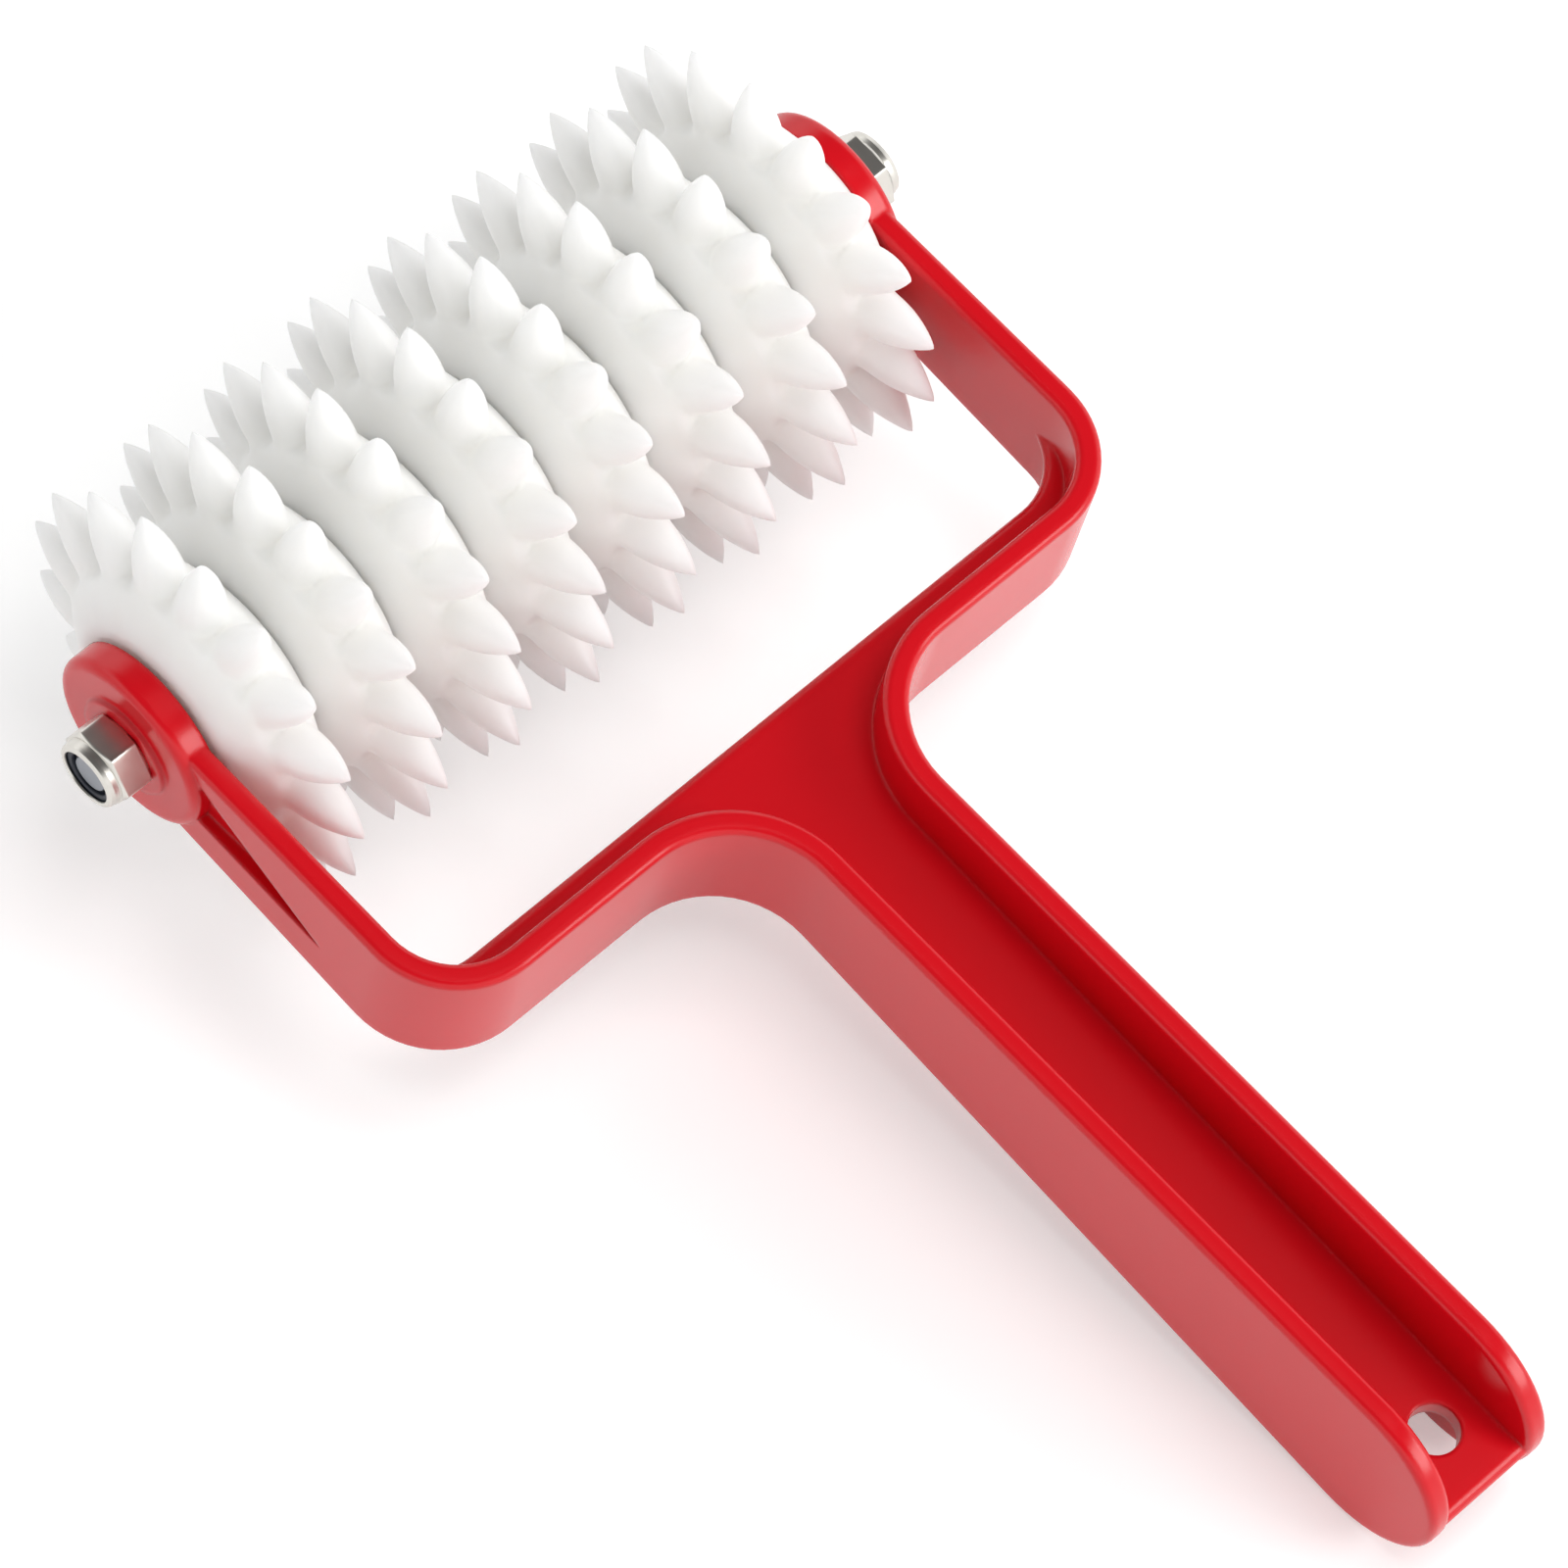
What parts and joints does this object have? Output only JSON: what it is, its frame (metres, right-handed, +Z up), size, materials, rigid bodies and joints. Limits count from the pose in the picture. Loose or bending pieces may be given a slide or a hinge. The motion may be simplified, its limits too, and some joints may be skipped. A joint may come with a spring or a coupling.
{
  "type": "dough docker",
  "caption": "Hand dough docker: a row of spiked plastic discs turning on a steel rod in a moulded fork, with an I-section handle and a hanging hole.",
  "frame": {"origin": "on the table, below the middle of the object's box at rest", "axes": "+X along the rod, +Y from the handle to the roller, +Z up; the docker lies as it is put down, on its spikes and the end of its handle"},
  "size_m": [0.1334, 0.2056, 0.06],
  "materials": {
    "red_plastic": "glossy injection moulded",
    "white_plastic": "satin, slightly translucent",
    "rod_steel": "drawn rod, plain",
    "nut_plating": "bright plated",
    "dark_nylon": "moulded nylon"
  },
  "bodies": {
    "fork": {"frame": "red_plastic", "axle": "rod_steel", "left_lock_nut": "nut_plating", "right_lock_nut": "nut_plating", "left_nylon_insert": "dark_nylon", "right_nylon_insert": "dark_nylon"},
    "disc_1": {"spiked_disc_1": "white_plastic"},
    "disc_2": {"spiked_disc_2": "white_plastic"},
    "disc_3": {"spiked_disc_3": "white_plastic"},
    "disc_4": {"spiked_disc_4": "white_plastic"},
    "disc_5": {"spiked_disc_5": "white_plastic"},
    "disc_6": {"spiked_disc_6": "white_plastic"},
    "disc_7": {"spiked_disc_7": "white_plastic"},
    "disc_8": {"spiked_disc_8": "white_plastic"}
  },
  "joints": [
    {"name": "disc_1_spin", "type": "hinge", "parent": "fork", "child": "disc_1", "pos_m": [-0.0483, 0.07294, 0.02997], "axis": [1, 0, 0], "continuous": true},
    {"name": "disc_2_spin", "type": "hinge", "parent": "fork", "child": "disc_2", "pos_m": [-0.0345, 0.07294, 0.02997], "axis": [1, 0, 0], "continuous": true},
    {"name": "disc_3_spin", "type": "hinge", "parent": "fork", "child": "disc_3", "pos_m": [-0.0207, 0.07294, 0.02997], "axis": [1, 0, 0], "continuous": true},
    {"name": "disc_4_spin", "type": "hinge", "parent": "fork", "child": "disc_4", "pos_m": [-0.0069, 0.07294, 0.02997], "axis": [1, 0, 0], "continuous": true},
    {"name": "disc_5_spin", "type": "hinge", "parent": "fork", "child": "disc_5", "pos_m": [0.0069, 0.07294, 0.02997], "axis": [1, 0, 0], "continuous": true},
    {"name": "disc_6_spin", "type": "hinge", "parent": "fork", "child": "disc_6", "pos_m": [0.0207, 0.07294, 0.02997], "axis": [1, 0, 0], "continuous": true},
    {"name": "disc_7_spin", "type": "hinge", "parent": "fork", "child": "disc_7", "pos_m": [0.0345, 0.07294, 0.02997], "axis": [1, 0, 0], "continuous": true},
    {"name": "disc_8_spin", "type": "hinge", "parent": "fork", "child": "disc_8", "pos_m": [0.0483, 0.07294, 0.02997], "axis": [1, 0, 0], "continuous": true}
  ]
}
